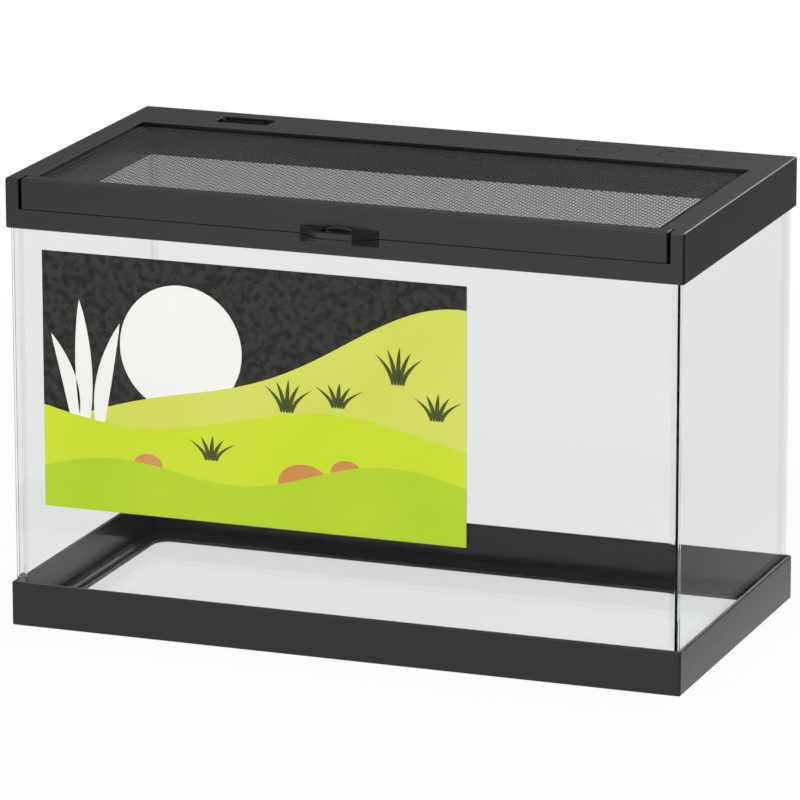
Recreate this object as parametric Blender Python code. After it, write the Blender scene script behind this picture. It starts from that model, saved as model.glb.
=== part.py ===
"""Glass terrarium with a front-sliding screen top.

Five glass panes are bonded with silicone and stand in a moulded bottom frame. A moulded top
frame caps the glass. A metal-framed mesh screen slides forwards out of it in two channels, and
its front bar carries one half of a padlock loop. The other half is on the top frame.

Metres, +Z up, the front faces -Y. The origin is on the table, in the middle of the footprint.
"""

import math

import bmesh
import bpy
from mathutils import Matrix

# Overall size
WIDTH = 0.411
DEPTH = 0.212
HEIGHT = 0.268
LOOP_REACH = 0.010

# General clearances
FIT = 0.0003
SLIDE_FIT = 0.0004
OVERLAP = 0.0002

# Mouldings
SKIN = 0.0022
CORNER_RADIUS = 0.0015
EDGE_RADIUS = 0.0009
CORNER_STEPS = 4

# Bottom frame
BASE_TALL = 0.0263
LEDGE_THICK = 0.0020
LEDGE_SIDE = 0.0134
LEDGE_END = 0.020
LEDGE_RADIUS = 0.009

# Glass and silicone
GLASS_THICK = 0.0032
GLASS_EDGE = 0.0004
BEAD_LEG = 0.0030
BEAD_STEPS = 4

# Top frame
RIM_TALL = 0.0294
LIP_STEP = 0.0040
BAR_TALL = 0.0177
PARTING_GAP = 0.0005
LIP_FIT = 0.0005
POST_WIDE = 0.0085
WEB_THICK = 0.0020
POST_CHAMFER = 0.0004
CHANNEL_REACH = 0.0070
LEDGE_EXTRA = 0.0004
RIB_THICK = 0.0016
SIDE_RIBS = 4
END_RIBS = 7

# Rear deck with its bottle opening and its cord breakouts
DECK_DEEP = 0.044
DECK_GRIP = 0.0085
BOTTLE_WIDE = 0.034
BOTTLE_DEEP = 0.016
BOTTLE_X = -0.133
BREAKOUT_WIDE = 0.026
BREAKOUT_DEEP = 0.015
BREAKOUT_X = 0.090
BREAKOUT_PITCH = 0.050
BREAKOUTS = 2
SCORE_WIDE = 0.0009
SCORE_DEEP = 0.0011
HOLE_RADIUS = 0.004

# Sliding screen
SIDE_GAP = 0.0017
RAIL_WIDE = 0.012
RAIL_TALL = 0.0062
RAIL_WALL = 0.0009
GROOVE_START = 0.0078
GROOVE_WIDE = 0.0034
GROOVE_FLOOR = 0.0030
GROOVE_STEP = 0.0010
MESH_THICK = 0.0004
MESH_STRIP = 0.005
MESH_COLUMNS = 12
MESH_ROWS = 5
SPLINE_WIDE = 0.0021
KEY_ARM = 0.026
KEY_FIT = 0.00025

# Moulded bar on the front of the screen
CAP_DEEP = 0.0096
BAR_FOOT_DEEP = 0.0052
BAR_FOOT_THICK = 0.0018
SHELF_BARB = 0.0011
BARB_THICK = 0.0012
BAR_RIBS = 8
BAR_END_SOFT = 0.0004
BAR_END_WALL = 0.0018

# Padlock loop, split by the parting line. It stands a little to the right of the middle
LOOP_X = 0.0008
LOOP_ROOT_WIDE = 0.0490
LOOP_TIP_WIDE = 0.0222
LOOP_HOLE_WIDE = 0.0175
LOOP_BAR_THICK = 0.0022
LOOP_ROOT_UP = 0.0053
LOOP_TIP_UP = 0.0033
LOOP_ROOT_DOWN = 0.0051
LOOP_TIP_DOWN = 0.0029
LOOP_EDGE = 0.0003
LOOP_EDGE_STEPS = 2
SCOOP_DEEP = 0.0012
SCOOP_TALL = 0.0030

# Catch that stops the screen before it leaves its channels
CATCH_WIDE = 0.018
CATCH_PIN_Y = 0.0086
CATCH_BARREL = 0.0017
CATCH_PIN_RADIUS = 0.0010
CATCH_PIN_FIT = 0.0003
CATCH_EAR = 0.0020
CATCH_REACH = 0.0260
CATCH_ARM_THICK = 0.0016
CATCH_RAMP = 0.0088
CATCH_NOSE = 0.0015
CATCH_BITE = 0.0022

# Front label on the glass
LABEL_WIDE = 0.2603
LABEL_TALL = 0.1526
LABEL_SIDE = 0.0192
LABEL_DROP = 0.0118
LABEL_THICK = 0.00025
LABEL_GAP = 0.0001

# Places that follow from the sizes above
REAR = (DEPTH + LOOP_REACH) / 2
FRONT = REAR - DEPTH
MID_Y = (FRONT + REAR) / 2
HALF_X = WIDTH / 2
HALF_Y = DEPTH / 2
GLASS_INSET = SKIN + FIT
GLASS_INNER = GLASS_INSET + GLASS_THICK
RIM_INNER = GLASS_INNER + LIP_FIT
FLOOR_LOW = LEDGE_THICK + FIT
FLOOR_TOP = FLOOR_LOW + GLASS_THICK
RIM_LOW = HEIGHT - RIM_TALL
LIP_LOW = RIM_LOW + LIP_STEP
PARTING = HEIGHT - BAR_TALL
WEB_LOW = HEIGHT - WEB_THICK
RAIL_LOW = WEB_LOW - SLIDE_FIT - RAIL_TALL
RAIL_TOP = RAIL_LOW + RAIL_TALL
CHANNEL_FLOOR = RAIL_LOW - FIT
LEDGE_LOW = CHANNEL_FLOOR - WEB_THICK
SCREEN_X = HALF_X - POST_WIDE - SIDE_GAP
SCREEN_FRONT = FRONT + SKIN + FIT
DECK_FRONT = REAR - DECK_DEEP
SCREEN_REAR = DECK_FRONT + DECK_GRIP
GROOVE_END = GROOVE_START + GROOVE_WIDE
MESH_LOW = RAIL_TOP - GROOVE_STEP + FIT
BAR_LOW = PARTING + PARTING_GAP / 2
RAIL_CAP_TOP = PARTING - PARTING_GAP / 2
GLASS_TOP = RAIL_CAP_TOP - WEB_THICK - FIT
LABEL_LEFT = GLASS_INSET + LABEL_SIDE - HALF_X
LABEL_HIGH = RIM_LOW - LABEL_DROP
SHELF_X = SCREEN_X - RAIL_WIDE - 2 * FIT
CATCH_PIN_Z = LEDGE_LOW - FIT - CATCH_BARREL - LEDGE_EXTRA


def clear_scene():
    for obj in list(bpy.data.objects):
        bpy.data.objects.remove(obj, do_unlink=True)


def material(name, color, roughness, metallic=0.0, alpha=1.0):
    made = bpy.data.materials.new(name)
    made.use_nodes = True
    shader = made.node_tree.nodes["Principled BSDF"]
    shader.inputs["Base Color"].default_value = (*color, 1.0)
    shader.inputs["Roughness"].default_value = roughness
    shader.inputs["Metallic"].default_value = metallic
    shader.inputs["Alpha"].default_value = alpha
    made.diffuse_color = (*color, alpha)
    return made


def add_object(name, bm, finish=None):
    """Turns the bmesh into an object with its faces out."""
    bmesh.ops.remove_doubles(bm, verts=bm.verts, dist=1e-6)
    bmesh.ops.recalc_face_normals(bm, faces=bm.faces)
    mesh = bpy.data.meshes.new(name)
    bm.to_mesh(mesh)
    bm.free()
    obj = bpy.data.objects.new(name, mesh)
    bpy.context.scene.collection.objects.link(obj)
    if finish:
        mesh.materials.append(finish)
    return obj


def smooth(obj, angle=35):
    obj.data.shade_smooth()
    obj.data.set_sharp_from_angle(angle=math.radians(angle))


def move_origin(obj, place):
    """Puts the object's origin on a joint's axis, and leaves its shape where it is."""
    obj.data.transform(Matrix.Translation((-place[0], -place[1], -place[2])))
    obj.location = place


def add_box(bm, low, high):
    """A cuboid between two corners."""
    size = [b - a for a, b in zip(low, high)]
    middle = [(a + b) / 2 for a, b in zip(low, high)]
    place = Matrix.Translation(middle) @ Matrix.Diagonal((*size, 1.0))
    bmesh.ops.create_cube(bm, size=1.0, matrix=place)


def box(name, low, high, finish=None):
    bm = bmesh.new()
    add_box(bm, low, high)
    return add_object(name, bm, finish)


def add_extrusion(bm, outline, place, ends):
    """Extrudes a closed outline. place(u, v, along) gives a world point, and along runs between the
    two ends. An end is a number, or a function of (u, v) for a mitred end."""
    rings = []
    for end in ends:
        along = end if callable(end) else (lambda u, v, fixed=end: fixed)
        rings.append([bm.verts.new(place(u, v, along(u, v))) for u, v in outline])
    first, last = rings
    count = len(outline)
    for i in range(count):
        j = (i + 1) % count
        bm.faces.new((first[i], first[j], last[j], last[i]))
    bm.faces.new(first)
    bm.faces.new(last)


def extrusion(name, outline, place, ends, finish=None):
    bm = bmesh.new()
    add_extrusion(bm, outline, place, ends)
    return add_object(name, bm, finish)


def rounded_rectangle(half_x, half_y, radius, z, middle_y=MID_Y):
    """Points of a rectangle in plan with its corners rounded, as many for a sharp corner too."""
    points = []
    for corner, (sx, sy) in enumerate(((1, 1), (-1, 1), (-1, -1), (1, -1))):
        centre = (sx * (half_x - radius), middle_y + sy * (half_y - radius))
        for step in range(CORNER_STEPS + 1):
            turn = math.pi / 2 * (corner + step / CORNER_STEPS)
            x = centre[0] + radius * math.cos(turn)
            y = centre[1] + radius * math.sin(turn)
            points.append((x, y, z))
    return points


def ring_body(name, section, finish=None):
    """A closed frame. Each point of its section is (inset in X, inset in Y, corner radius, z)."""
    bm = bmesh.new()
    loops = []
    for inset_x, inset_y, radius, z in section:
        corners = rounded_rectangle(HALF_X - inset_x, HALF_Y - inset_y, radius, z)
        loops.append([bm.verts.new(point) for point in corners])
    count = len(loops[0])
    for k, loop in enumerate(loops):
        following = loops[(k + 1) % len(loops)]
        for i in range(count):
            j = (i + 1) % count
            bm.faces.new((loop[i], loop[j], following[j], following[i]))
    return add_object(name, bm, finish)


def even_section(points):
    """Section points whose inset is the same on all four sides, from (inset, z)."""
    return [(inset, inset, max(CORNER_RADIUS - inset, 0.0), z) for inset, z in points]


def arc(centre, radius, start, end, steps):
    """Points on an arc, in degrees."""
    found = []
    for step in range(steps + 1):
        turn = math.radians(start + (end - start) * step / steps)
        found.append((centre[0] + radius * math.cos(turn), centre[1] + radius * math.sin(turn)))
    return found


def combine(obj, others, operation):
    """Applies a Boolean with each of the others, and takes them away."""
    for other in others:
        modifier = obj.modifiers.new(operation, "BOOLEAN")
        modifier.operation = operation
        modifier.solver = "EXACT"
        modifier.object = other
    bpy.context.view_layer.update()
    graph = bpy.context.evaluated_depsgraph_get()
    mesh = bpy.data.meshes.new_from_object(obj.evaluated_get(graph))
    obj.modifiers.clear()
    obj.data = mesh
    mesh.name = obj.name
    for other in others:
        bpy.data.objects.remove(other, do_unlink=True)
    return obj


def union(obj, *others):
    return combine(obj, others, "UNION")


def cut(obj, *others):
    return combine(obj, others, "DIFFERENCE")


def cylinder_x(name, x0, x1, centre, radius, sides=20):
    """A round bar along X."""
    outline = arc(centre, radius, 0, 360 * (sides - 1) / sides, sides - 1)
    return extrusion(name, outline, lambda u, v, along: (along, u, v), (x0, x1))


def bottom_frame(plastic):
    """Upright skirt round the glass, with a broad ledge under it whose inner corners are rounded."""
    edge = EDGE_RADIUS
    section = even_section(
        [(edge, 0.0)]
        + arc((edge, edge), edge, 270, 180, 3)[1:]
        + arc((edge, BASE_TALL - edge), edge, 180, 90, 3)
        + [(SKIN - edge / 3, BASE_TALL), (SKIN, BASE_TALL - edge / 3), (SKIN, LEDGE_THICK)]
    )
    section += [
        (LEDGE_SIDE - edge / 2, LEDGE_END - edge / 2, LEDGE_RADIUS + edge / 2, LEDGE_THICK),
        (LEDGE_SIDE, LEDGE_END, LEDGE_RADIUS, LEDGE_THICK - edge / 2),
        (LEDGE_SIDE, LEDGE_END, LEDGE_RADIUS, 0.0),
    ]
    frame = ring_body("bottom_frame", section, plastic)
    smooth(frame)
    return frame


def glass_pane(name, low, high, glass):
    """A pane with its sharp edges ground off."""
    pane = box(name, low, high, glass)
    bm = bmesh.new()
    bm.from_mesh(pane.data)
    bmesh.ops.bevel(bm, geom=bm.edges, offset=GLASS_EDGE, segments=1, affect="EDGES")
    bm.to_mesh(pane.data)
    bm.free()
    return pane


def panes(glass):
    outer_x = HALF_X - GLASS_INSET
    inner_x = HALF_X - GLASS_INNER
    for name, y0, y1 in (
        ("front_pane", FRONT + GLASS_INSET, FRONT + GLASS_INNER),
        ("rear_pane", REAR - GLASS_INNER, REAR - GLASS_INSET),
    ):
        glass_pane(name, (-outer_x, y0, FLOOR_LOW), (outer_x, y1, GLASS_TOP), glass)
    y0 = FRONT + GLASS_INNER + FIT
    y1 = REAR - GLASS_INNER - FIT
    for name, side in (("left_pane", -1), ("right_pane", 1)):
        x0, x1 = sorted((side * inner_x, side * outer_x))
        glass_pane(name, (x0, y0, FLOOR_LOW), (x1, y1, GLASS_TOP), glass)
    floor_x = inner_x - FIT
    glass_pane("floor_pane", (-floor_x, y0, FLOOR_LOW), (floor_x, y1, FLOOR_TOP), glass)


def bead_outline(leg):
    """A fillet between two walls at right angles, hollow towards the room, in (u, v) from the corner."""
    hollow = arc((leg, leg), leg - FIT, 270, 180, BEAD_STEPS)
    return [(FIT, FIT), (leg, FIT)] + hollow[1:-1] + [(FIT, leg)]


def silicone_beads(silicone):
    """One fillet up each corner, and one along each side of the floor."""
    corner_x = HALF_X - GLASS_INNER
    corner_y = HALF_Y - GLASS_INNER
    leg = BEAD_LEG + FIT
    outline = bead_outline(leg)
    heights = (FLOOR_TOP + leg + FIT, LIP_LOW - FIT)
    for end, sy in (("front", -1), ("rear", 1)):
        for side, sx in (("left", -1), ("right", 1)):
            extrusion(
                f"corner_bead_{end}_{side}",
                outline,
                lambda u, v, along, sx=sx, sy=sy: (
                    sx * (corner_x - u), MID_Y + sy * (corner_y - v), along),
                heights,
                silicone,
            )
        extrusion(
            f"floor_bead_{end}",
            outline,
            lambda u, v, along, sy=sy: (along, MID_Y + sy * (corner_y - u), FLOOR_TOP + v),
            (FIT - corner_x, corner_x - FIT),
            silicone,
        )
    reach = corner_y - leg - FIT
    for side, sx in (("left", -1), ("right", 1)):
        extrusion(
            f"floor_bead_{side}",
            outline,
            lambda u, v, along, sx=sx: (sx * (corner_x - u), along, FLOOR_TOP + v),
            (MID_Y - reach, MID_Y + reach),
            silicone,
        )


def rim_ring(plastic):
    """Upside-down U that fits over the top edge of the glass, all the way round."""
    edge = EDGE_RADIUS
    small = edge / 2
    section = even_section(
        [(SKIN, RIM_LOW), (small, RIM_LOW), (0.0, RIM_LOW + small)]
        + arc((edge, HEIGHT - edge), edge, 180, 90, 3)
        + [(POST_WIDE, HEIGHT), (POST_WIDE, LIP_LOW), (RIM_INNER, LIP_LOW)]
        + [(RIM_INNER, WEB_LOW), (SKIN, WEB_LOW)]
    )
    return ring_body("top_frame", section, plastic)


def channel_parts():
    """Lips over the screen and ledges under it, along both sides, and the rear deck with its own.
    A web under the front end of each side ledge stands on the front rail."""
    parts = []
    reach = HALF_X - POST_WIDE - CHANNEL_REACH
    root = HALF_X - POST_WIDE + OVERLAP
    lip_front = FRONT + CAP_DEEP + 2 * FIT
    ledge_front = FRONT + BAR_FOOT_DEEP + 2 * FIT
    stop_front = SCREEN_REAR + FIT
    stop_rear = stop_front + WEB_THICK
    for side in (-1, 1):
        x0, x1 = sorted((side * reach, side * root))
        parts.append(box("lip", (x0, lip_front, WEB_LOW), (x1, DECK_FRONT + OVERLAP, HEIGHT)))
        x0, x1 = sorted((side * (reach - LEDGE_EXTRA), side * root))
        parts.append(box("ledge", (x0, ledge_front, LEDGE_LOW), (x1, stop_rear, CHANNEL_FLOOR)))
        x0, x1 = sorted((side * (reach - LEDGE_EXTRA + OVERLAP), side * root))
        low = (x0, ledge_front + OVERLAP, RAIL_CAP_TOP - OVERLAP)
        parts.append(box("web", low, (x1, ledge_front + WEB_THICK, LEDGE_LOW + OVERLAP)))
    deck_rear = REAR - POST_WIDE + OVERLAP
    parts.append(box("deck", (-root, DECK_FRONT, WEB_LOW), (root, deck_rear, HEIGHT)))
    low = CHANNEL_FLOOR - OVERLAP
    parts.append(box("stop", (-root, stop_front, low), (root, stop_rear, WEB_LOW + OVERLAP)))
    inner = reach - LEDGE_EXTRA + OVERLAP
    low, high = (-inner, DECK_FRONT, LEDGE_LOW), (inner, stop_rear, CHANNEL_FLOOR)
    parts.append(box("rear_ledge", low, high))
    return parts


def deck_cuts():
    """The bottle opening, and the scored outlines of the cord breakouts."""
    middle = (SCREEN_REAR + FIT + WEB_THICK + REAR - POST_WIDE) / 2
    cuts = []
    bm = bmesh.new()
    outline = rounded_slot(BOTTLE_X, middle, BOTTLE_WIDE, BOTTLE_DEEP, HOLE_RADIUS)
    add_extrusion(bm, outline, lambda u, v, along: (u, v, along), (WEB_LOW - SKIN, HEIGHT + SKIN))
    cuts.append(add_object("bottle_cut", bm))
    for k in range(BREAKOUTS):
        x = BREAKOUT_X + k * BREAKOUT_PITCH
        outer = rounded_slot(x, middle, BREAKOUT_WIDE, BREAKOUT_DEEP, HOLE_RADIUS)
        wide = BREAKOUT_WIDE - 2 * SCORE_WIDE
        deep = BREAKOUT_DEEP - 2 * SCORE_WIDE
        inner = rounded_slot(x, middle, wide, deep, HOLE_RADIUS - SCORE_WIDE)
        cuts.append(score_ring("score", outer, inner, HEIGHT - SCORE_DEEP, HEIGHT + SKIN))
    return cuts


def rounded_slot(x, y, wide, deep, radius):
    loop = rounded_rectangle(wide / 2, deep / 2, radius, 0.0, middle_y=y)
    return [(x + px, py) for px, py, _ in loop]


def score_ring(name, outer, inner, low, high):
    """A closed groove between two outlines with as many points."""
    bm = bmesh.new()
    loops = []
    for outline, z in ((outer, low), (outer, high), (inner, high), (inner, low)):
        loops.append([bm.verts.new((x, y, z)) for x, y in outline])
    count = len(outer)
    for k, loop in enumerate(loops):
        following = loops[(k + 1) % len(loops)]
        for i in range(count):
            j = (i + 1) % count
            bm.faces.new((loop[i], loop[j], following[j], following[i]))
    return add_object(name, bm)


def stop_ribs():
    """Thin ribs inside the U that the top edge of the glass comes up against."""
    ribs = []
    low = GLASS_TOP + FIT
    high = WEB_LOW + OVERLAP
    across = (SKIN - OVERLAP, RIM_INNER + OVERLAP)
    for side in (-1, 1):
        for k in range(SIDE_RIBS):
            y = MID_Y + DEPTH * ((k + 0.5) / SIDE_RIBS - 0.5)
            x0, x1 = sorted((side * (HALF_X - across[0]), side * (HALF_X - across[1])))
            ribs.append(box("rib", (x0, y - RIB_THICK / 2, low), (x1, y + RIB_THICK / 2, high)))
    for k in range(END_RIBS):
        x = WIDTH * ((k + 0.5) / END_RIBS - 0.5)
        x0, x1 = x - RIB_THICK / 2, x + RIB_THICK / 2
        ribs.append(box("rib", (x0, REAR - across[1], low), (x1, REAR - across[0], high)))
    return ribs


def loop_half(name, root_z, tip_z, flat_z):
    """Half of the padlock loop: a tapered block that narrows away from the wall. Its outer edges
    are softened, and the flat face where the halves meet keeps its sharp outline."""
    root_y = FRONT + OVERLAP * 2
    tip_y = FRONT - LOOP_REACH
    bm = bmesh.new()
    rows = []
    for z_root, z_tip in ((flat_z, flat_z), (root_z, tip_z)):
        rows.append([
            bm.verts.new((LOOP_X - LOOP_ROOT_WIDE / 2, root_y, z_root)),
            bm.verts.new((LOOP_X - LOOP_TIP_WIDE / 2, tip_y, z_tip)),
            bm.verts.new((LOOP_X + LOOP_TIP_WIDE / 2, tip_y, z_tip)),
            bm.verts.new((LOOP_X + LOOP_ROOT_WIDE / 2, root_y, z_root)),
        ])
    for i in range(4):
        j = (i + 1) % 4
        bm.faces.new((rows[0][i], rows[0][j], rows[1][j], rows[1][i]))
    bm.faces.new(rows[0])
    outer = bm.faces.new(rows[1])
    root = {rows[0][0], rows[0][3], rows[1][0], rows[1][3]}
    soft = [edge for edge in outer.edges if not set(edge.verts) <= root]
    soft += [bm.edges.get((rows[0][i], rows[1][i])) for i in (1, 2)]
    bmesh.ops.bevel(bm, geom=soft, offset=LOOP_EDGE, segments=LOOP_EDGE_STEPS, affect="EDGES")
    return add_object(name, bm)


def loop_hole(low, high):
    """The upright hole through the loop."""
    y0 = FRONT - LOOP_REACH + LOOP_BAR_THICK
    middle = (y0 + FRONT) / 2
    outline = rounded_slot(LOOP_X, middle, LOOP_HOLE_WIDE, FRONT - y0, EDGE_RADIUS)
    return extrusion("loop_hole", outline, lambda u, v, along: (u, v, along), (low, high))


def scoop():
    """A shallow hollow in the wall behind the hole, so that a shackle goes in easily."""
    bm = bmesh.new()
    size = (LOOP_HOLE_WIDE, SCOOP_DEEP * 2, SCOOP_TALL * 2, 1.0)
    middle = (LOOP_X, FRONT, PARTING + LOOP_ROOT_UP / 2)
    place = Matrix.Translation(middle) @ Matrix.Diagonal(size)
    bmesh.ops.create_uvsphere(bm, u_segments=20, v_segments=10, radius=0.5, matrix=place)
    return add_object("scoop", bm)


def catch_ears():
    """Two ears on the front rail that carry the catch's pins."""
    y = FRONT + CATCH_PIN_Y
    ears = []
    for side in (-1, 1):
        x0, x1 = sorted((side * (CATCH_WIDE / 2 + FIT), side * (CATCH_WIDE / 2 + FIT + CATCH_EAR)))
        top = arc((y, CATCH_PIN_Z), CATCH_BARREL + LEDGE_EXTRA / 2, 0, 180, 8)
        low = RAIL_CAP_TOP - OVERLAP
        outline = top + [(top[-1][0], low), (top[0][0], low)]
        ears.append(extrusion("ear", outline, lambda u, v, along: (along, u, v), (x0, x1)))
    return ears


def front_notch(half):
    """Cutter for the gap between the front posts. It flares at the front, and so takes the sharp
    edge off each post."""
    flare = half + POST_CHAMFER + SKIN
    outline = [
        (-flare, FRONT - SKIN),
        (flare, FRONT - SKIN),
        (half, FRONT + POST_CHAMFER),
        (half, FRONT + POST_WIDE + SKIN),
        (-half, FRONT + POST_WIDE + SKIN),
        (-half, FRONT + POST_CHAMFER),
    ]
    return extrusion(
        "notch", outline, lambda u, v, along: (u, v, along), (RAIL_CAP_TOP, HEIGHT + SKIN))


def top_frame(plastic):
    """Rim over the glass, screen channels, rear deck, low front rail and the lower loop half."""
    frame = rim_ring(plastic)
    notch_x = HALF_X - POST_WIDE
    cut(frame, front_notch(notch_x))
    web_x = HALF_X - SKIN + OVERLAP
    rail_web = box(
        "rail_web",
        (-web_x, FRONT + SKIN - OVERLAP, RAIL_CAP_TOP - WEB_THICK),
        (web_x, FRONT + RIM_INNER + OVERLAP, RAIL_CAP_TOP),
    )
    shelf_y = FRONT + CATCH_PIN_Y + CATCH_BARREL + LEDGE_EXTRA / 2
    foot_x = CATCH_WIDE / 2 + FIT + CATCH_EAR
    foot_low = (-foot_x, FRONT + POST_WIDE - OVERLAP, RAIL_CAP_TOP - WEB_THICK)
    catch_foot = box("catch_foot", foot_low, (foot_x, shelf_y, RAIL_CAP_TOP))
    cheeks = []
    for side in (-1, 1):
        x0, x1 = sorted((side * (HALF_X - RIM_INNER), side * notch_x))
        low = (x0, FRONT + SKIN - OVERLAP, RAIL_CAP_TOP - OVERLAP)
        cheeks.append(box("cheek", low, (x1, FRONT + POST_WIDE + OVERLAP, WEB_LOW + OVERLAP)))
    lower_loop = loop_half(
        "lower_loop", PARTING - LOOP_ROOT_DOWN, PARTING - LOOP_TIP_DOWN, RAIL_CAP_TOP)
    cut(lower_loop, loop_hole(RIM_LOW, HEIGHT))
    union(frame, rail_web, catch_foot, *cheeks, *channel_parts(), *stop_ribs(), lower_loop)
    union(frame, *catch_ears())
    ear_x = CATCH_WIDE / 2 + 2 * CATCH_EAR
    pin = (FRONT + CATCH_PIN_Y, CATCH_PIN_Z)
    cut(frame, cylinder_x("pin_hole", -ear_x, ear_x, pin, CATCH_PIN_RADIUS + CATCH_PIN_FIT))
    cut(frame, *deck_cuts())
    smooth(frame)
    return frame


def screen_catch(plastic):
    """A sprung tongue with a ramped hook, on two stub pins."""
    y = FRONT + CATCH_PIN_Y
    z = CATCH_PIN_Z
    arm_low = z - CATCH_ARM_THICK / 2
    arm_top = z + CATCH_ARM_THICK / 2
    end = FRONT + CATCH_REACH
    tip = RAIL_LOW + CATCH_BITE
    outline = [
        (y, arm_low),
        (end, arm_low),
        (end, tip),
        (end - CATCH_NOSE, tip),
        (end - CATCH_RAMP, arm_top),
        (y, arm_top),
    ]
    half = CATCH_WIDE / 2
    tongue = extrusion(
        "screen_catch", outline, lambda u, v, along: (along, u, v), (-half, half), plastic)
    barrel = cylinder_x("barrel", -half, half, (y, z), CATCH_BARREL)
    pins = cylinder_x("pins", -half - CATCH_EAR, half + CATCH_EAR, (y, z), CATCH_PIN_RADIUS)
    union(tongue, barrel)
    union(tongue, pins)
    smooth(tongue)
    move_origin(tongue, (0.0, y, z))
    return tongue


def bar_outline(inset):
    """The front bar's section, in (y, z). The inset draws its front and top faces in."""
    edge = EDGE_RADIUS
    front = FRONT + inset
    top = HEIGHT - inset
    return (
        [(front, BAR_LOW)]
        + arc((front + edge, top - edge), edge, 180, 90, 3)
        + [
            (FRONT + CAP_DEEP, top),
            (FRONT + CAP_DEEP, WEB_LOW),
            (FRONT + SKIN, WEB_LOW),
            (FRONT + SKIN, BAR_LOW + BAR_FOOT_THICK),
            (FRONT + BAR_FOOT_DEEP, BAR_LOW + BAR_FOOT_THICK),
            (FRONT + BAR_FOOT_DEEP, BAR_LOW),
        ]
    )


def bar_body(plastic):
    """The bar along X, with its front and top edges softened at both ends."""
    bm = bmesh.new()
    inner_x = SCREEN_X - BAR_END_SOFT
    stations = (
        (-SCREEN_X, BAR_END_SOFT), (-inner_x, 0.0), (inner_x, 0.0), (SCREEN_X, BAR_END_SOFT))
    rings = []
    for x, inset in stations:
        rings.append([bm.verts.new((x, y, z)) for y, z in bar_outline(inset)])
    count = len(rings[0])
    for first, second in zip(rings, rings[1:]):
        for i in range(count):
            j = (i + 1) % count
            bm.faces.new((first[i], first[j], second[j], second[i]))
    bm.faces.new(rings[0])
    bm.faces.new(rings[-1])
    return add_object("screen_front_bar", bm, plastic)


def screen_front_bar(plastic):
    """Moulded bar that closes the front, grips the screen's front rail and carries a loop half."""
    bar = bar_body(plastic)
    rail_rear = SCREEN_FRONT + RAIL_WIDE + FIT
    back = rail_rear + BARB_THICK
    shelf_outline = [
        (FRONT + SKIN - OVERLAP, LEDGE_LOW),
        (back, LEDGE_LOW),
        (back, CHANNEL_FLOOR + SHELF_BARB),
        (rail_rear, CHANNEL_FLOOR + SHELF_BARB),
        (rail_rear, CHANNEL_FLOOR),
        (FRONT + SKIN - OVERLAP, CHANNEL_FLOOR),
    ]
    shelf = extrusion(
        "shelf", shelf_outline, lambda u, v, along: (along, u, v), (-SHELF_X, SHELF_X))
    inside = (FRONT + SKIN - OVERLAP, FRONT + BAR_FOOT_DEEP - FIT)
    foot = BAR_LOW + BAR_FOOT_THICK - OVERLAP
    ribs = []
    for k in range(BAR_RIBS):
        x = 2 * SHELF_X * ((k + 0.5) / BAR_RIBS - 0.5)
        low = (x - RIB_THICK / 2, inside[0], foot)
        ribs.append(box("bar_rib", low, (x + RIB_THICK / 2, inside[1], LEDGE_LOW + OVERLAP)))
    for side in (-1, 1):
        end = SCREEN_X - OVERLAP
        x0, x1 = sorted((side * end, side * (end - BAR_END_WALL)))
        ribs.append(box("end_wall", (x0, inside[0], foot), (x1, inside[1], CHANNEL_FLOOR)))
    upper_loop = loop_half("upper_loop", PARTING + LOOP_ROOT_UP, PARTING + LOOP_TIP_UP, BAR_LOW)
    cut(upper_loop, loop_hole(RIM_LOW, HEIGHT))
    union(bar, shelf, *ribs, upper_loop)
    cut(bar, scoop())
    smooth(bar)
    move_origin(bar, (0.0, FRONT, PARTING))
    return bar


def rail_outline():
    """The rail's section, from its outer edge inwards, with the groove for the spline."""
    soft = RAIL_WALL / 2
    return [
        (soft, 0.0),
        (RAIL_WIDE, 0.0),
        (RAIL_WIDE, RAIL_TALL - GROOVE_STEP),
        (GROOVE_END, RAIL_TALL - GROOVE_STEP),
        (GROOVE_END, GROOVE_FLOOR),
        (GROOVE_START, GROOVE_FLOOR),
        (GROOVE_START, RAIL_TALL),
        (soft, RAIL_TALL),
        (0.0, RAIL_TALL - soft),
        (0.0, soft),
    ]


def rail_places():
    """(name, half length, function from (in, up, along) to the world) of the screen's four sides."""
    half_y = (SCREEN_REAR - SCREEN_FRONT) / 2
    middle = (SCREEN_REAR + SCREEN_FRONT) / 2
    return (
        ("front", SCREEN_X, lambda u, v, s: (s, SCREEN_FRONT + u, RAIL_LOW + v)),
        ("rear", SCREEN_X, lambda u, v, s: (-s, SCREEN_REAR - u, RAIL_LOW + v)),
        ("left", half_y, lambda u, v, s: (-SCREEN_X + u, middle - s, RAIL_LOW + v)),
        ("right", half_y, lambda u, v, s: (SCREEN_X - u, middle + s, RAIL_LOW + v)),
    )


def screen_rails(metal):
    """Four hollow metal rails, mitred at the corners."""
    wall = RAIL_WALL
    hollow = [
        (wall, wall),
        (GROOVE_START - wall, wall),
        (GROOVE_START - wall, RAIL_TALL - wall),
        (wall, RAIL_TALL - wall),
    ]
    for name, half, place in rail_places():
        reach = half - FIT
        rail = extrusion(
            f"screen_rail_{name}",
            rail_outline(),
            place,
            (lambda u, v, r=reach: u - r, lambda u, v, r=reach: r - u),
            metal,
        )
        bore = extrusion("bore", hollow, place, (-half - wall, half + wall))
        cut(rail, bore)


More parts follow.
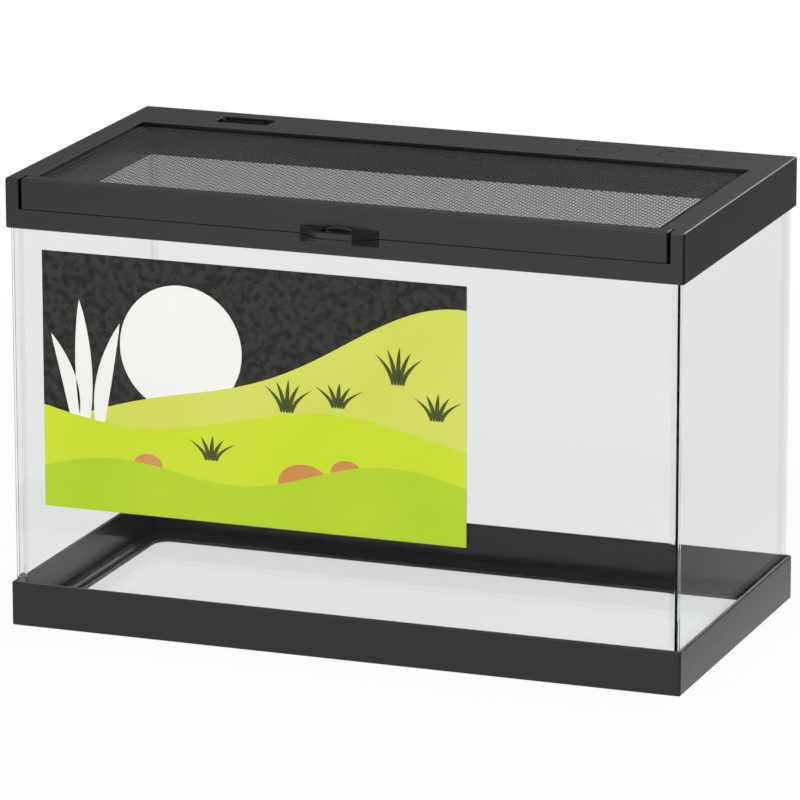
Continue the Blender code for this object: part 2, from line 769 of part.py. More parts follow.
def corner_keys(plastic):
    """L-shaped keys inside the hollow rails, which hold the corners together."""
    inner = RAIL_WALL + KEY_FIT
    outer = GROOVE_START - RAIL_WALL - KEY_FIT
    low = RAIL_LOW + RAIL_WALL + KEY_FIT
    high = RAIL_TOP - RAIL_WALL - KEY_FIT
    outline = [
        (inner, inner), (KEY_ARM, inner), (KEY_ARM, outer),
        (outer, outer), (outer, KEY_ARM), (inner, KEY_ARM),
    ]
    for end, sy in (("front", 1), ("rear", -1)):
        edge_y = SCREEN_FRONT if sy > 0 else SCREEN_REAR
        for side, sx in (("left", 1), ("right", -1)):
            extrusion(
                f"corner_key_{end}_{side}",
                outline,
                lambda u, v, along, sx=sx, sy=sy, edge_y=edge_y: (
                    -sx * SCREEN_X + sx * u, edge_y + sy * v, along),
                (low, high),
                plastic,
            )


def splines(rubber):
    """Rubber cords pressed into the rails' grooves, which hold the mesh."""
    u0 = GROOVE_START + FIT
    u1 = u0 + SPLINE_WIDE
    v0 = GROOVE_FLOOR + FIT
    v1 = RAIL_TALL - FIT
    soft = SPLINE_WIDE / 4
    outline = [
        (u0 + soft, v0), (u1 - soft, v0), (u1, v0 + soft), (u1, v1 - soft),
        (u1 - soft, v1), (u0 + soft, v1), (u0, v1 - soft), (u0, v0 + soft),
    ]
    for name, half, place in rail_places():
        reach = half - FIT
        extrusion(
            f"spline_{name}",
            outline,
            place,
            (lambda u, v, r=reach: u - r, lambda u, v, r=reach: r - u),
            rubber,
        )


def mesh_openings():
    """Cutter for a plain grid of openings in the sheet, inside the rails."""
    half_x = SCREEN_X - RAIL_WIDE
    half_y = (SCREEN_REAR - SCREEN_FRONT) / 2 - RAIL_WIDE
    middle = (SCREEN_REAR + SCREEN_FRONT) / 2
    pitch_x = 2 * half_x / MESH_COLUMNS
    pitch_y = 2 * half_y / MESH_ROWS
    open_x = (pitch_x - MESH_STRIP) / 2
    open_y = (pitch_y - MESH_STRIP) / 2
    bm = bmesh.new()
    for column in range(MESH_COLUMNS):
        x = pitch_x * (column + 0.5) - half_x
        for row in range(MESH_ROWS):
            y = middle + pitch_y * (row + 0.5) - half_y
            low = (x - open_x, y - open_y, MESH_LOW - MESH_THICK)
            add_box(bm, low, (x + open_x, y + open_y, MESH_LOW + 2 * MESH_THICK))
    return add_object("openings", bm)


def screen_mesh(metal):
    """The mesh as a thin sheet with openings, whose edges turn down into the grooves."""
    half_y = (SCREEN_REAR - SCREEN_FRONT) / 2
    middle = (SCREEN_REAR + SCREEN_FRONT) / 2
    outer = GROOVE_END - FIT
    inner = outer - MESH_THICK
    foot = RAIL_LOW + GROOVE_FLOOR + 2 * FIT
    bm = bmesh.new()
    loops = []
    for inset, z in (
        (inner, foot), (inner, MESH_LOW + MESH_THICK), (outer, foot), (outer, MESH_LOW),
    ):
        corners = [(sx * (SCREEN_X - inset), middle + sy * (half_y - inset), z)
                   for sx, sy in ((1, 1), (-1, 1), (-1, -1), (1, -1))]
        loops.append([bm.verts.new(corner) for corner in corners])
    skirt_out, top, skirt_in, under = loops
    for first, second in ((skirt_out, top), (skirt_in, skirt_out), (skirt_in, under)):
        for i in range(4):
            j = (i + 1) % 4
            bm.faces.new((first[i], first[j], second[j], second[i]))
    bm.faces.new(top)
    bm.faces.new(under)
    return cut(add_object("screen_mesh", bm, metal), mesh_openings())


def front_label(paper):
    """Thin printed sheet on the outside of the front pane."""
    rear = FRONT + GLASS_INSET - LABEL_GAP
    low = (LABEL_LEFT, rear - LABEL_THICK, LABEL_HIGH - LABEL_TALL)
    return box("front_label", low, (LABEL_LEFT + LABEL_WIDE, rear, LABEL_HIGH), paper)


def build():
    clear_scene()
    lower_black = material("frame_black_lower", (0.037, 0.037, 0.038), 0.42)
    upper_black = material("frame_black_upper", (0.050, 0.050, 0.051), 0.42)
    glass = material("glass", (0.86, 0.93, 0.90), 0.02, alpha=0.3)
    silicone = material("silicone", (0.78, 0.80, 0.78), 0.30, alpha=0.5)
    metal = material("screen_metal", (0.030, 0.030, 0.031), 0.38, metallic=0.6)
    wire = material("mesh_wire", (0.035, 0.035, 0.036), 0.45, metallic=0.7)
    rubber = material("spline_rubber", (0.015, 0.015, 0.015), 0.7)
    key_grey = material("key_plastic", (0.10, 0.10, 0.10), 0.5)
    paper = material("label_print", (0.60, 0.76, 0.06), 0.5)
    bottom_frame(lower_black)
    panes(glass)
    silicone_beads(silicone)
    top_frame(upper_black)
    screen_catch(upper_black)
    screen_front_bar(upper_black)
    screen_rails(metal)
    corner_keys(key_grey)
    splines(rubber)
    screen_mesh(wire)
    front_label(paper)


build()
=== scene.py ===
"""The looks of a glass terrarium with a front-sliding screen top.

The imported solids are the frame. This script gives each of them a finish, weaves the screen's wires,
tools the silicone in the corners, prints a generic design on the front label, and sets the studio.
Metres, +Z up, the front faces -Y.
"""

import math

import bmesh
import bpy
import numpy as np
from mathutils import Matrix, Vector


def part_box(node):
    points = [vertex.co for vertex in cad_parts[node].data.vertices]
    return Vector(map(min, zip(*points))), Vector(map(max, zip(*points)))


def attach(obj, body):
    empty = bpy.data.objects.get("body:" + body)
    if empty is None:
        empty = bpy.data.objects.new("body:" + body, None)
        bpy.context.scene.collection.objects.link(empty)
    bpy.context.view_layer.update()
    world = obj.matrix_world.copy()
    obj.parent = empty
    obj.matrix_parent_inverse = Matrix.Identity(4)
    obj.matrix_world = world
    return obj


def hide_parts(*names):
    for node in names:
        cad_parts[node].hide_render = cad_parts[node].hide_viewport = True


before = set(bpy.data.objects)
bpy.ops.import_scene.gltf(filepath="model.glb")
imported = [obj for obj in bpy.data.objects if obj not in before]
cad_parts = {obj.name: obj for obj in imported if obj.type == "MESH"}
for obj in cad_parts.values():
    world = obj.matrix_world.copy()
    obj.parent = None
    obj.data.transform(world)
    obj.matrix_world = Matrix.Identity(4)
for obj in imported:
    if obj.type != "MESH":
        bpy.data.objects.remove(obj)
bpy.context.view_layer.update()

# Camera, worked out from the frame's corners and edges in the photograph
PHOTO_SIDE = 800
FOCAL_PIXELS = 6430.1
SENSOR = 36.0
CAMERA_PLACE = (1.27441, -3.39983, 1.07905)
CAMERA_AZIMUTH = 20.5415
CAMERA_ELEVATION = 14.652
CAMERA_ROLL = 0.0665
CAMERA_CLIP = (0.05, 50.0)

# Studio: the floor is lifted towards white near the object, and is white past the fade
WHITE = (1.0, 1.0, 1.0, 1.0)
FLOOR_RADIUS = 9.0
FLOOR_SEGMENTS = 96
FLOOR_DROP = 0.0002
FLOOR_COLOR = (0.86, 0.86, 0.86)
FLOOR_TOOTH = 1.02
FLOOR_LIFT = 0.91
FLOOR_FADE = (0.30, 1.0)
BACKGROUND = 1.0
FILL = 0.30

# What reflections show: white towards a soft side and on a strip of floor, and darker elsewhere.
# A level is two strengths, and where one starts and the other is reached.
SOFT_SIDE = (-0.40, -0.80, 0.45)
SOFT_LEVEL = (0.2, 1.0, 0.35, 0.8)
POOL_X = -0.27
POOL_LEVEL = (1.0, 0.2, 0.47, 0.60)

LAMP_AIM = (0.0, 0.0, 0.12)
LAMPS = (  # name, azimuth from -Y towards +X, elevation, distance, size, watts
    ("key_light", 4.0, 40.0, 3.2, 1.6, 62.0),
    ("left_light", -65.0, 28.0, 3.0, 1.8, 12.0),
    ("right_light", 75.0, 30.0, 3.0, 1.8, 14.0),
    ("rear_light", 172.0, 36.0, 3.1, 1.8, 30.0),
)

# Finishes. Glass and silicone bend light less than the real ones, so that they stay clear.
BEVEL_SAMPLES = 4
SHEEN_DRIFT = 0.015
GLASS_IOR = 1.055
GLASS_SHEEN = 0.12
GLASS_GREEN = (0.56, 0.88, 0.76, 1.0)
GLASS_DEPTH = 7.0
SILICONE_IOR = 1.03
INKS = {  # two tones, and where it isn't the usual, the scale, start and end of the drift
    "lime": ((0.52, 0.66, 0.020), (0.58, 0.69, 0.040)),
    "pale_lime": ((0.58, 0.63, 0.085), (0.64, 0.68, 0.13)),
    "deep_lime": ((0.40, 0.57, 0.020), (0.46, 0.62, 0.028)),
    "charcoal": ((0.009, 0.009, 0.0086), (0.031, 0.031, 0.0292), 240.0, 0.36, 0.60),
    "cream": ((0.80, 0.80, 0.77), (0.84, 0.84, 0.82)),
    "sand": ((0.52, 0.22, 0.06), (0.62, 0.30, 0.10)),
    "olive": ((0.050, 0.065, 0.012), (0.080, 0.095, 0.020)),
}
CREASE = 40  # degrees, from which an edge is sharp
WIRE_CREASE = 100

# Woven wire
WIRE_RADIUS = 0.00021
WIRE_PITCH = 0.0025
WIRE_SIDES = 4

# Silicone: its gap from the glass here, its solid's gap, and its section and run
FILM_FIT = 0.00004
CAD_FIT = 0.0003
BEAD_EDGE = 0.00014
BEAD_ARC = 10
BEAD_STATION = 0.004
BEAD_ENDS = ((0.0, 0.55), (0.0004, 0.85), (0.0012, 0.97))  # place, and how full it is there
BEAD_WAVE = 0.09
BEAD_RIPPLES = ((0.3, 140.0, 1), (0.2, 330.0, 2))  # depth, radians a metre, times the phase
BEAD_PHASE = (1.7, 2.3)  # from bead to bead, and from wall to wall

# Printed design, in shares of the label's width and height
PRINT_STEP = 0.00003
PRINT_THICK = 0.00004
CURVE_POINTS = 48
SUN = (0.33, 0.66, 0.145)  # place across and up, radius
FAR_DUNE = (0.33, 0.86, 0.05, 2.6)  # height at the left and right, swell, half turns of it
MID_DUNE = (0.40, 0.40, -0.06, 2.2)
NEAR_DUNE = (0.16, 0.24, 0.045, 3.1)
LEAF_STEPS = 12
LEAF_ROOT = 0.12  # how far along its swell a leaf starts
LEAF_FULL = 0.8
LEAVES = (  # place across and up, length, width, lean
    (0.075, 0.34, 0.34, 0.036, -0.055), (0.100, 0.32, 0.50, 0.040, -0.012),
    (0.135, 0.32, 0.42, 0.038, 0.050),
)
TUFTS = (  # place across and up, height
    (0.58, 0.455, 0.13), (0.70, 0.49, 0.10), (0.84, 0.60, 0.15), (0.93, 0.475, 0.11),
    (0.40, 0.24, 0.10),
)
TUFT_LEANS = (-0.040, -0.018, 0.004, 0.024, 0.046)
TUFT_SPREAD = 0.3
TUFT_DROOP = 6.0
TUFT_WIDE = 0.010
STONES = (  # place across and up, radius
    (0.620, 0.185, 0.060), (0.720, 0.245, 0.036), (0.250, 0.200, 0.034),
)
STONE_FLAT = 0.72


class Graph:
    """A node tree, with short calls to add and link its nodes."""

    def __init__(self, tree):
        self.nodes = tree.nodes
        self.links = tree.links
        self.place = None

    def new(self, kind):
        return self.nodes.new("ShaderNode" + kind)

    def put(self, socket, value):
        """Links the value if it is a socket, or else sets it."""
        if isinstance(value, bpy.types.NodeSocket):
            self.links.new(value, socket)
        else:
            socket.default_value = value

    def add(self, kind, **values):
        made = self.new(kind)
        for name, value in values.items():
            self.put(made.inputs[name.replace("_", " ")], value)
        return made

    def math(self, operation, first, second):
        made = self.new("Math")
        made.operation = operation
        self.put(made.inputs[0], first)
        self.put(made.inputs[1], second)
        return made.outputs[0]

    def coordinates(self):
        if self.place is None:
            self.place = self.new("TexCoord").outputs["Object"]
        return self.place

    def stretched(self, scale):
        mapping = self.add("Mapping", Vector=self.coordinates())
        mapping.inputs["Scale"].default_value = scale
        return mapping.outputs["Vector"]

    def noise(self, scale, detail=2.0, rough=0.5, vector=None):
        return self.add(
            "TexNoise", Vector=vector or self.coordinates(), Scale=scale, Detail=detail,
            Roughness=rough).outputs["Fac"]

    def spread(self, value, low, high, start=0.3, end=0.7):
        """The value between start and end, turned into a number from low to high."""
        return self.add(
            "MapRange", Value=value, From_Min=start, From_Max=end, To_Min=low,
            To_Max=high).outputs["Result"]

    def colors(self, value, first, second, start=0.3, end=0.7):
        ramp = self.add("ValToRGB", Fac=value)
        for stop, place, color in zip(ramp.color_ramp.elements, (start, end), (first, second)):
            stop.position = place
            stop.color = (*color, 1.0)
        return ramp.outputs["Color"]

    def bump(self, height, distance, strength=1.0, normal=None):
        made = self.add("Bump", Height=height, Strength=strength, Distance=distance)
        if normal is not None:
            self.put(made.inputs["Normal"], normal)
        return made.outputs["Normal"]

    def soft_edges(self, radius):
        """The surface's direction as it is with its sharp edges a little rounded."""
        made = self.add("Bevel", Radius=radius)
        made.samples = BEVEL_SAMPLES
        return made.outputs["Normal"]

    def seen(self):
        """1 for a ray that shows the background: the camera's, a mirrored one or through glass."""
        path = self.new("LightPath")
        found = path.outputs["Is Camera Ray"]
        for kind in ("Is Glossy Ray", "Is Transmission Ray"):
            found = self.math("MAXIMUM", found, path.outputs[kind])
        return found

    def along(self, vector, direction):
        """How far the vector reaches along a direction."""
        made = self.new("VectorMath")
        made.operation = "DOT_PRODUCT"
        self.put(made.inputs[0], vector)
        made.inputs[1].default_value = direction
        return made.outputs["Value"]

    def reflected(self, level):
        """1, but the level where a reflection looks. A look through glass isn't one."""
        path = self.new("LightPath")
        outside = self.math("SUBTRACT", 1.0, path.outputs["Is Transmission Ray"])
        mirrored = self.math("MULTIPLY", path.outputs["Is Glossy Ray"], outside)
        lost = self.math("MULTIPLY", mirrored, self.math("SUBTRACT", 1.0, level))
        return self.math("SUBTRACT", 1.0, lost)

    def mix(self, share, first, second):
        made = self.new("MixShader")
        for socket, value in zip(made.inputs, (share, first, second)):
            self.put(socket, value)
        return made.outputs["Shader"]


class Finish(Graph):
    """A material's graph, with its shader."""

    def __init__(self, name):
        self.material = bpy.data.materials.new(name)
        self.material.use_nodes = True
        super().__init__(self.material.node_tree)
        self.shader = self.nodes["Principled BSDF"]
        self.output = self.nodes["Material Output"]

    def set(self, **values):
        for name, value in values.items():
            self.put(self.shader.inputs[name.replace("_", " ")], value)


def moulded_plastic(name, color, lighter, rough, shine=0.5):
    """Satin black plastic with a fine sparked grain, faint flow marks and uneven sheen."""
    graph = Finish(name)
    patches = graph.noise(28.0, 3.0)
    flow = graph.noise(1.0, 4.0, 0.6, graph.stretched((14.0, 90.0, 160.0)))
    pores = graph.bump(graph.noise(700.0, 3.0, 0.55), 0.00002, 0.4, graph.soft_edges(0.0004))
    graph.set(
        Base_Color=graph.colors(patches, color, lighter),
        Roughness=graph.spread(flow, rough - SHEEN_DRIFT, rough + SHEEN_DRIFT),
        Specular_IOR_Level=shine,
        Normal=pores,
    )
    return graph.material


def powder_coat(name):
    """Black powder coat: a fine orange peel over the metal rails."""
    graph = Finish(name)
    cloud = graph.noise(40.0, 2.0)
    graph.set(
        Base_Color=graph.colors(cloud, (0.014, 0.014, 0.015), (0.022, 0.022, 0.023)),
        Roughness=graph.spread(cloud, 0.30, 0.40),
        Specular_IOR_Level=0.4,
        Normal=graph.bump(graph.noise(900.0, 2.0), 0.00008, 0.6, graph.soft_edges(0.0003)),
    )
    return graph.material


def coated_wire(name):
    """Black coating on thin wire, a little uneven."""
    graph = Finish(name)
    spots = graph.noise(500.0, 2.0)
    graph.set(
        Base_Color=graph.colors(spots, (0.014, 0.014, 0.015), (0.030, 0.030, 0.031)),
        Roughness=graph.spread(spots, 0.32, 0.5),
        Specular_IOR_Level=0.35,
    )
    return graph.material


def matt_rubber(name):
    """Matt black rubber with a dusty skin."""
    graph = Finish(name)
    dust = graph.noise(300.0, 4.0, 0.6)
    graph.set(
        Base_Color=graph.colors(dust, (0.010, 0.010, 0.010), (0.022, 0.022, 0.021)),
        Roughness=graph.spread(dust, 0.62, 0.8),
        Specular_IOR_Level=0.3,
        Normal=graph.bump(dust, 0.00006, 0.5),
    )
    return graph.material


def pass_light(graph, tint):
    """Lets lamps and diffuse light through a clear body, as glass does, without caustics."""
    clear = graph.add("BsdfTransparent", Color=(*tint, 1.0))
    path = graph.new("LightPath")
    share = graph.math("MAXIMUM", path.outputs["Is Shadow Ray"], path.outputs["Is Diffuse Ray"])
    mixed = graph.mix(share, graph.shader.outputs["BSDF"], clear.outputs["BSDF"])
    graph.put(graph.output.inputs["Surface"], mixed)


def float_glass(name):
    """Clear float glass, a little green in its depth, with the faintest haze of handling."""
    graph = Finish(name)
    smudge = graph.noise(9.0, 5.0, 0.65)
    graph.set(
        Base_Color=(0.905, 0.902, 0.903, 1.0),
        Roughness=graph.spread(smudge, 0.0, 0.012, 0.5, 0.8),
        Transmission_Weight=1.0,
        IOR=GLASS_IOR,
        Coat_Weight=GLASS_SHEEN,
    )
    depth = graph.add("VolumeAbsorption", Color=GLASS_GREEN, Density=GLASS_DEPTH)
    graph.put(graph.output.inputs["Volume"], depth.outputs["Volume"])
    pass_light(graph, (0.97, 0.985, 0.98))
    return graph.material


def clear_silicone(name):
    """Translucent sealant with a smooth tooled skin and a little cloudiness."""
    graph = Finish(name)
    cloud = graph.noise(120.0, 3.0)
    graph.set(
        Base_Color=graph.colors(cloud, (0.90, 0.91, 0.90), (0.95, 0.955, 0.95)),
        Roughness=graph.spread(cloud, 0.05, 0.12),
        Transmission_Weight=1.0,
        IOR=SILICONE_IOR,
    )
    pass_light(graph, (0.90, 0.91, 0.90))
    return graph.material


def print_ink(name, first, second, scale=18.0, start=0.25, end=0.75):
    """Ink on a semi-gloss film: a soft drift between two tones, and a fine press grain."""
    graph = Finish(name)
    press = graph.noise(1800.0, 1.0)
    graph.set(
        Base_Color=graph.colors(graph.noise(scale, 3.0), first, second, start, end),
        Roughness=graph.spread(press, 0.36, 0.46),
        Specular_IOR_Level=0.2,
        Normal=graph.bump(press, 0.00001, 0.4),
    )
    return graph.material


def new_piece(name, mesh, finish, body, crease=CREASE):
    """Makes the mesh a piece that rides on a body, with sharp edges from an angle up, or flat."""
    mesh.materials.append(finish)
    if crease:
        mesh.shade_smooth()
        mesh.set_sharp_from_angle(angle=math.radians(crease))
    piece = bpy.data.objects.new(name, mesh)
    bpy.context.scene.collection.objects.link(piece)
    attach(piece, body)
    return piece


def dress(nodes, finish):
    """Gives carried-over nodes a finish."""
    for node in nodes:
        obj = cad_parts[node]
        if not obj.material_slots:
            obj.data.materials.append(finish)
        for slot in obj.material_slots:
            slot.material = finish


def named(part):
    """The carried-over nodes with these letters in their names."""
    return [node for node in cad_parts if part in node]


def dress_nodes():
    """Finishes for the solids that show as they are."""
    upper = moulded_plastic(
        "upper_plastic", (0.004, 0.004, 0.0042), (0.006, 0.006, 0.0062), 0.24, 0.60)
    lower = moulded_plastic(
        "lower_plastic", (0.006, 0.006, 0.0062), (0.008, 0.008, 0.0082), 0.31, 0.40)
    keys = moulded_plastic("key_grey", (0.08, 0.08, 0.08), (0.11, 0.11, 0.11), 0.5)
    dress(["top_frame", "screen_front_bar", "screen_catch"], upper)
    dress(["bottom_frame"], lower)
    dress(named("corner_key"), keys)
    dress(named("screen_rail"), powder_coat("rail_coat"))
    dress(named("spline"), matt_rubber("spline_black"))
    dress(named("_pane"), float_glass("float_glass"))


def strip_faces(count, stations, sides):
    """Quads round tubes of as many stations and sides each, by vertex number."""
    line, step, side = np.meshgrid(
        np.arange(count), np.arange(stations - 1), np.arange(sides), indexing="ij")
    start = (line * stations + step) * sides
    following = (side + 1) % sides
    faces = [start + side, start + following, start + sides + following, start + sides + side]
    return np.stack(faces, axis=-1).reshape(-1, 4)


def tube(paths, radius, sides):
    """Tubes of one radius along several lines of as many points each, as vertices and faces."""
    along = np.gradient(paths, axis=1)
    along /= np.linalg.norm(along, axis=2, keepdims=True)
    flat = np.cross(paths[:, -1:] - paths[:, :1], np.array([0.0, 0.0, 1.0]))
    flat /= np.linalg.norm(flat, axis=2, keepdims=True)
    across = np.broadcast_to(flat, paths.shape)
    over = np.cross(across, along)
    turn = 2 * math.pi * (np.arange(sides) + 0.5) / sides
    ring = across[:, :, None] * np.cos(turn)[:, None] + over[:, :, None] * np.sin(turn)[:, None]
    points = (paths[:, :, None] + radius * ring).reshape(-1, 3)
    count, stations = paths.shape[:2]
    first = np.arange(count)[:, None] * stations * sides + np.arange(sides)
    last = first + (stations - 1) * sides
    return points, np.concatenate([strip_faces(count, stations, sides), first[:, ::-1], last])


def woven_wires():
    """Wires over and under each other both ways, whose ends turn down into the rails' grooves."""
    low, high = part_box("screen_mesh")
    level = high.z - WIRE_RADIUS * 2
    finish = coated_wire("wire_black")
    counts = [round((high[i] - low[i]) / WIRE_PITCH) for i in (0, 1)]
    pitch = [(high[i] - low[i]) / counts[i] for i in (0, 1)]
    for name, run, step, phase in (("wires_along", 0, 1, 0), ("wires_across", 1, 0, 1)):
        marks = low[run] + WIRE_RADIUS + np.linspace(0, 1, 2 * counts[run] + 1) * (
            high[run] - low[run] - 2 * WIRE_RADIUS)
        places = low[step] + pitch[step] * (np.arange(counts[step]) + 0.5)
        wires = np.zeros((len(places), len(marks) + 2, 3))
        wires[:, 1:-1, run] = marks
        wires[:, 0, run] = marks[0]
        wires[:, -1, run] = marks[-1]
        wires[:, :, step] = places[:, None]
        sign = (-1.0) ** (np.arange(len(places))[:, None] + phase)
        weave = np.sin(math.pi * (np.arange(len(marks)) / 2)) * WIRE_RADIUS
        wires[:, 1:-1, 2] = level + sign * weave
        wires[:, (0, -1), 2] = low.z + WIRE_RADIUS
        points, faces = tube(wires, WIRE_RADIUS, WIRE_SIDES)
        mesh = bpy.data.meshes.new(name)
        mesh.from_pydata(points.tolist(), [], faces.tolist())
        new_piece(name, mesh, finish, "screen", WIRE_CREASE)
    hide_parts("screen_mesh")


def bead_section(leg):
    """A fillet's section, (u, v) from the corner: thin edges on the glass and a hollow face."""
    section = [(0.0, 0.0), (leg, 0.0)]
    for step in range(BEAD_ARC + 1):
        turn = math.radians(270 - 90 * step / BEAD_ARC)
        hollow = leg - BEAD_EDGE
        section.append((leg + hollow * math.cos(turn), leg + hollow * math.sin(turn)))
    return np.array(section + [(0.0, leg)])


def bead_stations(length):
    """Places along a bead, and how full it is there: rounded off at both ends."""
    middle = np.arange(BEAD_ENDS[-1][0] + BEAD_STATION, length / 2, BEAD_STATION)
    first = [place for place, _ in BEAD_ENDS] + middle.tolist()
    full = [share for _, share in BEAD_ENDS] + [1.0] * len(middle)
    return np.array(first + [length - place for place in first[::-1]]), np.array(full + full[::-1])


def tooled_bead(node, number, finish):
    """Silicone in the corner that the node's name tells, a little uneven along its run."""
    sides = {  # the axis across each wall, and which way it faces
        "left": (0, 1), "right": (0, -1), "front": (1, 1), "rear": (1, -1), "floor": (2, 1)}
    walls = [sides[word] for word in node.split("_") if word in sides]
    low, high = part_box(node)
    run = 3 - walls[0][0] - walls[1][0]
    closer = CAD_FIT - FILM_FIT
    section = bead_section(high[walls[0][0]] - low[walls[0][0]] + closer)
    places, full = bead_stations(high[run] - low[run])
    points = np.zeros((len(places), len(section), 3))
    points[:, :, run] = low[run] + places[:, None]
    for k, (axis, inward) in enumerate(walls):
        phase = number * BEAD_PHASE[0] + k * BEAD_PHASE[1]
        wave = 0.5
        for depth, turns, times in BEAD_RIPPLES:
            wave = wave + depth * np.sin(places * turns + times * phase)
        reach = section[:, k] * (full * (1 - BEAD_WAVE * wave))[:, None]
        wall = low[axis] - closer if inward > 0 else high[axis] + closer
        points[:, :, axis] = wall + inward * reach
    count = len(section)
    faces = strip_faces(1, len(places), count).tolist()
    faces += [list(range(count))[::-1], [(len(places) - 1) * count + k for k in range(count)]]
    bm = bmesh.new()
    verts = [bm.verts.new(point) for point in points.reshape(-1, 3)]
    for face in faces:
        bm.faces.new([verts[k] for k in face])
    bmesh.ops.recalc_face_normals(bm, faces=bm.faces)
    mesh = bpy.data.meshes.new(node)
    bm.to_mesh(mesh)
    bm.free()
    piece = new_piece(node.replace("bead", "silicone"), mesh, finish, "tank")
    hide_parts(node)


def label_sheet(name, outlines, layer, finish):
    """Thin printed shapes on the label. Outlines are in shares of the label's width and height."""
    low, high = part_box("front_label")
    front = low.y - PRINT_STEP * layer
    bm = bmesh.new()
    faces = []
    for outline in outlines:
        faces.append(bm.faces.new([
            bm.verts.new((low.x + (high.x - low.x) * u, front, low.z + (high.z - low.z) * v))
            for u, v in outline]))
    made = bmesh.ops.extrude_face_region(bm, geom=faces)
    moved = [item for item in made["geom"] if isinstance(item, bmesh.types.BMVert)]
    bmesh.ops.translate(bm, verts=moved, vec=(0.0, -PRINT_THICK, 0.0))
    bmesh.ops.recalc_face_normals(bm, faces=bm.faces)
    mesh = bpy.data.meshes.new(name)
    bm.to_mesh(mesh)
    bm.free()
    new_piece(name, mesh, finish, "tank", crease=0)


def dune(left, right, swell, turns):
    """A band from the label's foot up to a rolling line."""
    outline = [(0.0, 0.0)]
    for step in range(CURVE_POINTS + 1):
        u = step / CURVE_POINTS
        rise = left + (right - left) * (3 * u * u - 2 * u ** 3)
        outline.append((u, rise + swell * math.sin(turns * math.pi * u)))
    return outline + [(1.0, 0.0)]


def disc(u, v, radius, stretch):
    """A round shape. stretch is the label's width over its height."""
    turns = [2 * math.pi * k / CURVE_POINTS for k in range(CURVE_POINTS)]
    return [(u + radius * math.cos(turn), v + radius * stretch * math.sin(turn)) for turn in turns]


def leaf(u, v, length, width, lean):
    """A pointed blade that bends to one side as it rises."""
    sides = ([], [])
    for step in range(LEAF_STEPS + 1):
        s = step / LEAF_STEPS
        full = math.sin(math.pi * (LEAF_ROOT + (1 - LEAF_ROOT) * s)) ** LEAF_FULL
        half = width * full * 0.5
        sides[0].append((u + lean * s * s - half, v + length * s))
        sides[1].append((u + lean * s * s + half, v + length * s))
    return sides[0] + sides[1][-2::-1]


def tufts():
    """Small bunches of grass, each blade as leaf() takes it."""
    blades = []
    for u, v, tall in TUFTS:
        for lean in TUFT_LEANS:
            length = tall * (1.0 - TUFT_DROOP * abs(lean))
            blades.append((u + lean * TUFT_SPREAD, v, length, TUFT_WIDE, lean))
    return blades


def printed_label():
    """A plain desert scene in charcoal, lime and cream, with no lettering."""
    low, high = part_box("front_label")
    stretch = (high.x - low.x) / (high.z - low.z)
    inks = {name: print_ink("ink_" + name, *tones) for name, tones in INKS.items()}
    dress(["front_label"], inks["charcoal"])
    stones = [disc(u, v, radius, stretch * STONE_FLAT) for u, v, radius in STONES]
    layers = (  # from the film outwards
        ("label_sun", [disc(*SUN, stretch)], "cream"),
        ("label_far_dune", [dune(*FAR_DUNE)], "pale_lime"),
        ("label_leaves", [leaf(*blade) for blade in LEAVES], "cream"),
        ("label_mid_dune", [dune(*MID_DUNE)], "lime"),
        ("label_tufts", [leaf(*blade) for blade in tufts()], "olive"),
        ("label_stones", stones, "sand"),
        ("label_near_dune", [dune(*NEAR_DUNE)], "deep_lime"),
    )
    for layer, (name, outlines, ink) in enumerate(layers, 1):
        label_sheet(name, outlines, layer, inks[ink])


def floor_paper(name):
    """Pale paper that fades to white away from the object, and keeps the object's shadow."""
    graph = Finish(name)
    length = graph.new("VectorMath")
    length.operation = "LENGTH"
    graph.put(length.inputs[0], graph.coordinates())
    white_share = graph.spread(length.outputs["Value"], FLOOR_LIFT, 1.0, *FLOOR_FADE)
    tooth = graph.noise(220.0, 3.0)
    graph.set(
        Base_Color=graph.colors(tooth, FLOOR_COLOR, tuple(c * FLOOR_TOOTH for c in FLOOR_COLOR)),
        Roughness=graph.spread(tooth, 0.75, 0.85),
        Specular_IOR_Level=0.2,
    )
    aside = graph.math("SUBTRACT", graph.along(graph.coordinates(), (1.0, 0.0, 0.0)), POOL_X)
    pool = graph.reflected(graph.spread(graph.math("ABSOLUTE", aside, 0.0), *POOL_LEVEL))
    white = graph.add("Emission", Color=WHITE, Strength=pool)
    share = graph.math("MULTIPLY", white_share, graph.seen())
    mixed = graph.mix(share, graph.shader.outputs["BSDF"], white.outputs["Emission"])
    graph.put(graph.output.inputs["Surface"], mixed)
    return graph.material


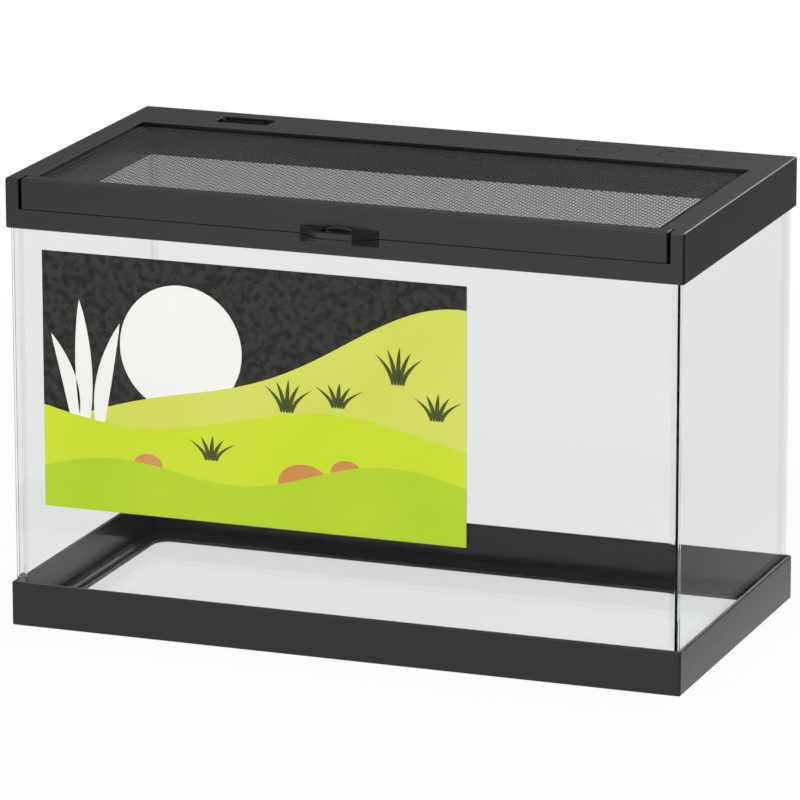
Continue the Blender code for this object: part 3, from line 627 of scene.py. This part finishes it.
def surrounding():
    """A white surrounding, which lights the object less than it shows."""
    world = bpy.data.worlds.new("studio")
    world.use_nodes = True
    graph = Graph(world.node_tree)
    background = graph.nodes["Background"]
    background.inputs["Color"].default_value = WHITE
    around = graph.new("TexCoord").outputs["Generated"]
    strength = graph.spread(graph.seen(), FILL, BACKGROUND, 0.0, 1.0)
    level = graph.reflected(graph.spread(graph.along(around, SOFT_SIDE), *SOFT_LEVEL))
    graph.put(background.inputs["Strength"], graph.math("MULTIPLY", strength, level))
    return world


def studio():
    """A pale floor, a white surrounding and soft lamps."""
    scene = bpy.context.scene
    scene.view_settings.view_transform = "Standard"
    scene.world = surrounding()
    bm = bmesh.new()
    bmesh.ops.create_circle(bm, cap_ends=True, segments=FLOOR_SEGMENTS, radius=FLOOR_RADIUS)
    mesh = bpy.data.meshes.new("floor")
    bm.to_mesh(mesh)
    bm.free()
    mesh.materials.append(floor_paper("floor_paper"))
    floor = bpy.data.objects.new("floor", mesh)
    scene.collection.objects.link(floor)
    floor.location.z = -FLOOR_DROP
    for name, azimuth, elevation, distance, size, watts in LAMPS:
        lamp = bpy.data.lights.new(name, "AREA")
        lamp.shape = "SQUARE"
        lamp.size = size
        lamp.energy = watts
        turn, rise = math.radians(azimuth), math.radians(elevation)
        level = math.cos(rise)
        away = Vector((math.sin(turn) * level, -math.cos(turn) * level, math.sin(rise)))
        obj = bpy.data.objects.new(name, lamp)
        obj.location = Vector(LAMP_AIM) + away * distance
        obj.rotation_euler = (-away).to_track_quat("-Z", "Y").to_euler()
        scene.collection.objects.link(obj)


def camera():
    """The photograph's view."""
    data = bpy.data.cameras.new("camera")
    data.sensor_width = SENSOR
    data.lens = FOCAL_PIXELS * SENSOR / PHOTO_SIDE
    data.clip_start, data.clip_end = CAMERA_CLIP
    made = bpy.data.objects.new("camera", data)
    bpy.context.scene.collection.objects.link(made)
    made.location = CAMERA_PLACE
    made.rotation_euler = (
        math.radians(90.0 - CAMERA_ELEVATION), math.radians(CAMERA_ROLL),
        math.radians(CAMERA_AZIMUTH))
    bpy.context.scene.camera = made


camera()
studio()
dress_nodes()
sealant = clear_silicone("clear_silicone")
for number, node in enumerate(sorted(named("_bead_"))):
    tooled_bead(node, number, sealant)
woven_wires()
printed_label()
